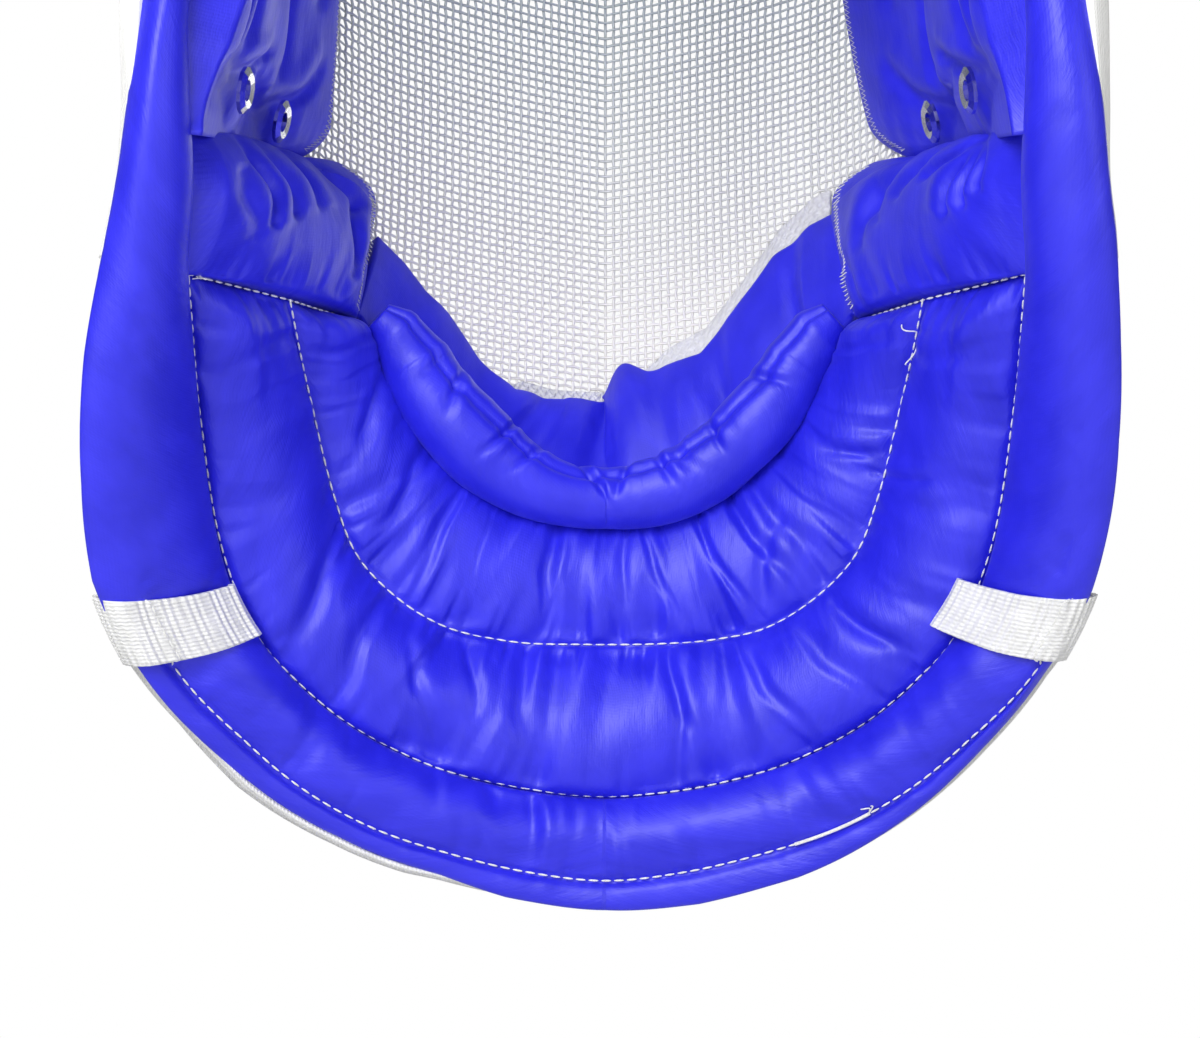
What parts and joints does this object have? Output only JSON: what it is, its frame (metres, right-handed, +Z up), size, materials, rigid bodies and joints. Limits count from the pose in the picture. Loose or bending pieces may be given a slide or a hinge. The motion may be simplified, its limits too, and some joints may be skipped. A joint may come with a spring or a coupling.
{
  "type": "fencing mask",
  "caption": "Wire-mesh fencing mask with a padded blue quilted bib, rolled rim, side pads and chin roll, open behind and below for the head.",
  "frame": {"origin": "where the top of the wearer's head meets the inside of the crown", "axes": "+Z up through the crown, +Y forward out of the face, +X to the wearer's right"},
  "size_m": [0.3166, 0.2455, 0.4334],
  "materials": {
    "cage_wire": "woven steel wire, dull grey",
    "blue_nylon": "satin royal blue nylon, fine plain weave",
    "white_cloth": "heavy matt white cloth",
    "white_webbing": "white ribbed polyester tape",
    "snap_steel": "plated ring snap"
  },
  "bodies": {
    "root": {"mesh_cage": "cage_wire", "rim_binding": "white_cloth", "bib_shell": "white_cloth", "jaw_shell": "white_cloth", "bib_edge_tape": "white_webbing", "bib_lining": "blue_nylon", "rim_roll": "blue_nylon", "forehead_pad": "blue_nylon", "chin_roll": "blue_nylon", "chin_lining": "blue_nylon", "mesh_edge_tape": "white_webbing", "back_tongue": "blue_nylon", "temple_pad_left": "blue_nylon", "temple_pad_right": "blue_nylon", "cheek_pad_left": "blue_nylon", "cheek_pad_right": "blue_nylon", "webbing_tab_left": "white_webbing", "webbing_tab_right": "white_webbing", "snap_front_left": "snap_steel", "snap_rear_left": "snap_steel", "snap_front_right": "snap_steel", "snap_rear_right": "snap_steel"}
  },
  "joints": []
}
